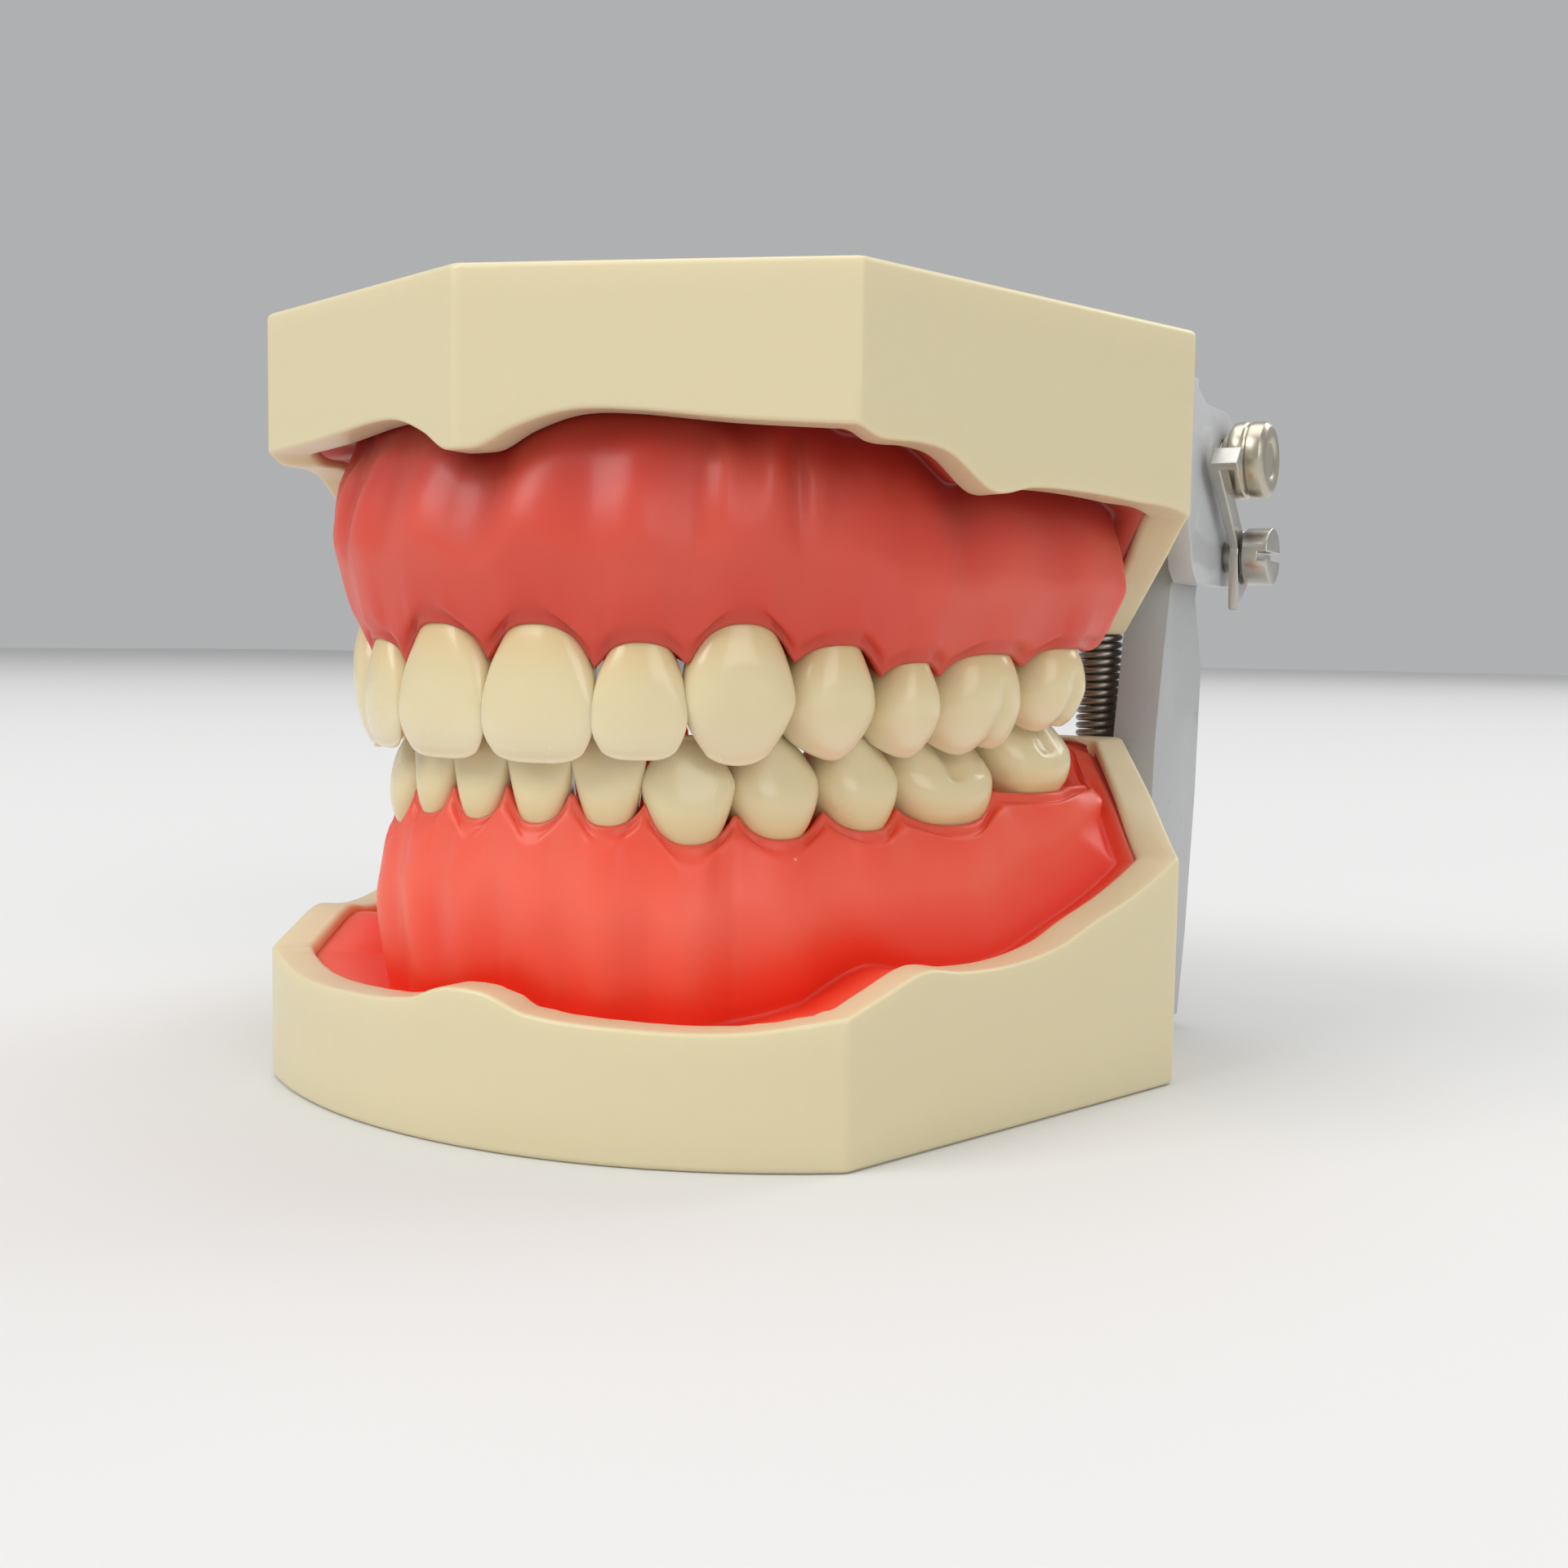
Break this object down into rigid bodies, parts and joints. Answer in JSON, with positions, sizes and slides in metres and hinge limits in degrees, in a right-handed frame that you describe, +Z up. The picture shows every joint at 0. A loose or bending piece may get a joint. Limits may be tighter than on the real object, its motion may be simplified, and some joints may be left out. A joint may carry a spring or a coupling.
{
  "type": "typodont model",
  "caption": "Dental typodont: two hinged jaws with screw-held ivory teeth in soft red gums on cream bases, sprung rear frame.",
  "frame": {"origin": "centre of the lower base's bottom face, on the midline, midway between the front of the arch and the widest corners", "axes": "+Z up, -Y towards the front teeth, +X to the model's own left side"},
  "size_m": [0.0774, 0.0772, 0.062],
  "materials": {
    "base": "smooth satin cast resin, cream",
    "upper_gum": "glossy translucent soft silicone, coral red",
    "lower_gum": "glossy translucent soft silicone, salmon red",
    "tooth": "glossy ivory resin",
    "frame": "light grey paint on cast metal",
    "steel": "polished steel",
    "knob": "turned and polished steel",
    "spring": "dark spring steel",
    "brass": "plain turned brass"
  },
  "bodies": {
    "lower_jaw": {"lower_base": "base", "lower_gum": "lower_gum", "lower_right_central_incisor": "tooth", "lower_right_lateral_incisor": "tooth", "lower_right_canine": "tooth", "lower_right_first_premolar": "tooth", "lower_right_second_premolar": "tooth", "lower_right_first_molar": "tooth", "lower_right_second_molar": "tooth", "lower_left_central_incisor": "tooth", "lower_left_lateral_incisor": "tooth", "lower_left_canine": "tooth", "lower_left_first_premolar": "tooth", "lower_left_second_premolar": "tooth", "lower_left_first_molar": "tooth", "lower_left_second_molar": "tooth", "lower_tooth_screws": "steel", "lower_frame": "frame", "lower_frame_screws": "steel", "hinge_rod": "steel", "lower_spring_pins": "steel", "lower_mount_insert": "brass", "right_spring": "spring", "left_spring": "spring"},
    "upper_jaw": {"upper_base": "base", "upper_gum": "upper_gum", "upper_right_central_incisor": "tooth", "upper_right_lateral_incisor": "tooth", "upper_right_canine": "tooth", "upper_right_first_premolar": "tooth", "upper_right_second_premolar": "tooth", "upper_right_first_molar": "tooth", "upper_right_second_molar": "tooth", "upper_left_central_incisor": "tooth", "upper_left_lateral_incisor": "tooth", "upper_left_canine": "tooth", "upper_left_first_premolar": "tooth", "upper_left_second_premolar": "tooth", "upper_left_first_molar": "tooth", "upper_left_second_molar": "tooth", "upper_tooth_screws": "steel", "upper_frame": "frame", "upper_frame_screws": "steel", "latch_screws": "steel", "upper_spring_pins": "steel", "upper_mount_insert": "brass"},
    "right_knob": {"right_thumb_knob": "knob"},
    "left_knob": {"left_thumb_knob": "knob"},
    "right_latch": {"right_latch_lever": "steel"},
    "left_latch": {"left_latch_lever": "steel"}
  },
  "joints": [
    {"name": "jaw_hinge", "type": "hinge", "parent": "lower_jaw", "child": "upper_jaw", "pos_m": [0, 0.0435, 0.054], "axis": [-1, 0, 0], "range_deg": [0, 60], "stiffness_Nm_per_rad": 0.08, "deforming": ["right_spring", "left_spring"]},
    {"name": "right_knob_turn", "type": "hinge", "parent": "lower_jaw", "child": "right_knob", "pos_m": [-0.037, 0.0435, 0.054], "axis": [-1, 0, 0], "continuous": true},
    {"name": "left_knob_turn", "type": "hinge", "parent": "lower_jaw", "child": "left_knob", "pos_m": [0.037, 0.0435, 0.054], "axis": [1, 0, 0], "continuous": true},
    {"name": "right_latch_turn", "type": "hinge", "parent": "upper_jaw", "child": "right_latch", "pos_m": [-0.0355, 0.0454, 0.0451], "axis": [1, 0, 0], "range_deg": [0, 25]},
    {"name": "left_latch_turn", "type": "hinge", "parent": "upper_jaw", "child": "left_latch", "pos_m": [0.0355, 0.0454, 0.0451], "axis": [1, 0, 0], "range_deg": [0, 25]}
  ]
}
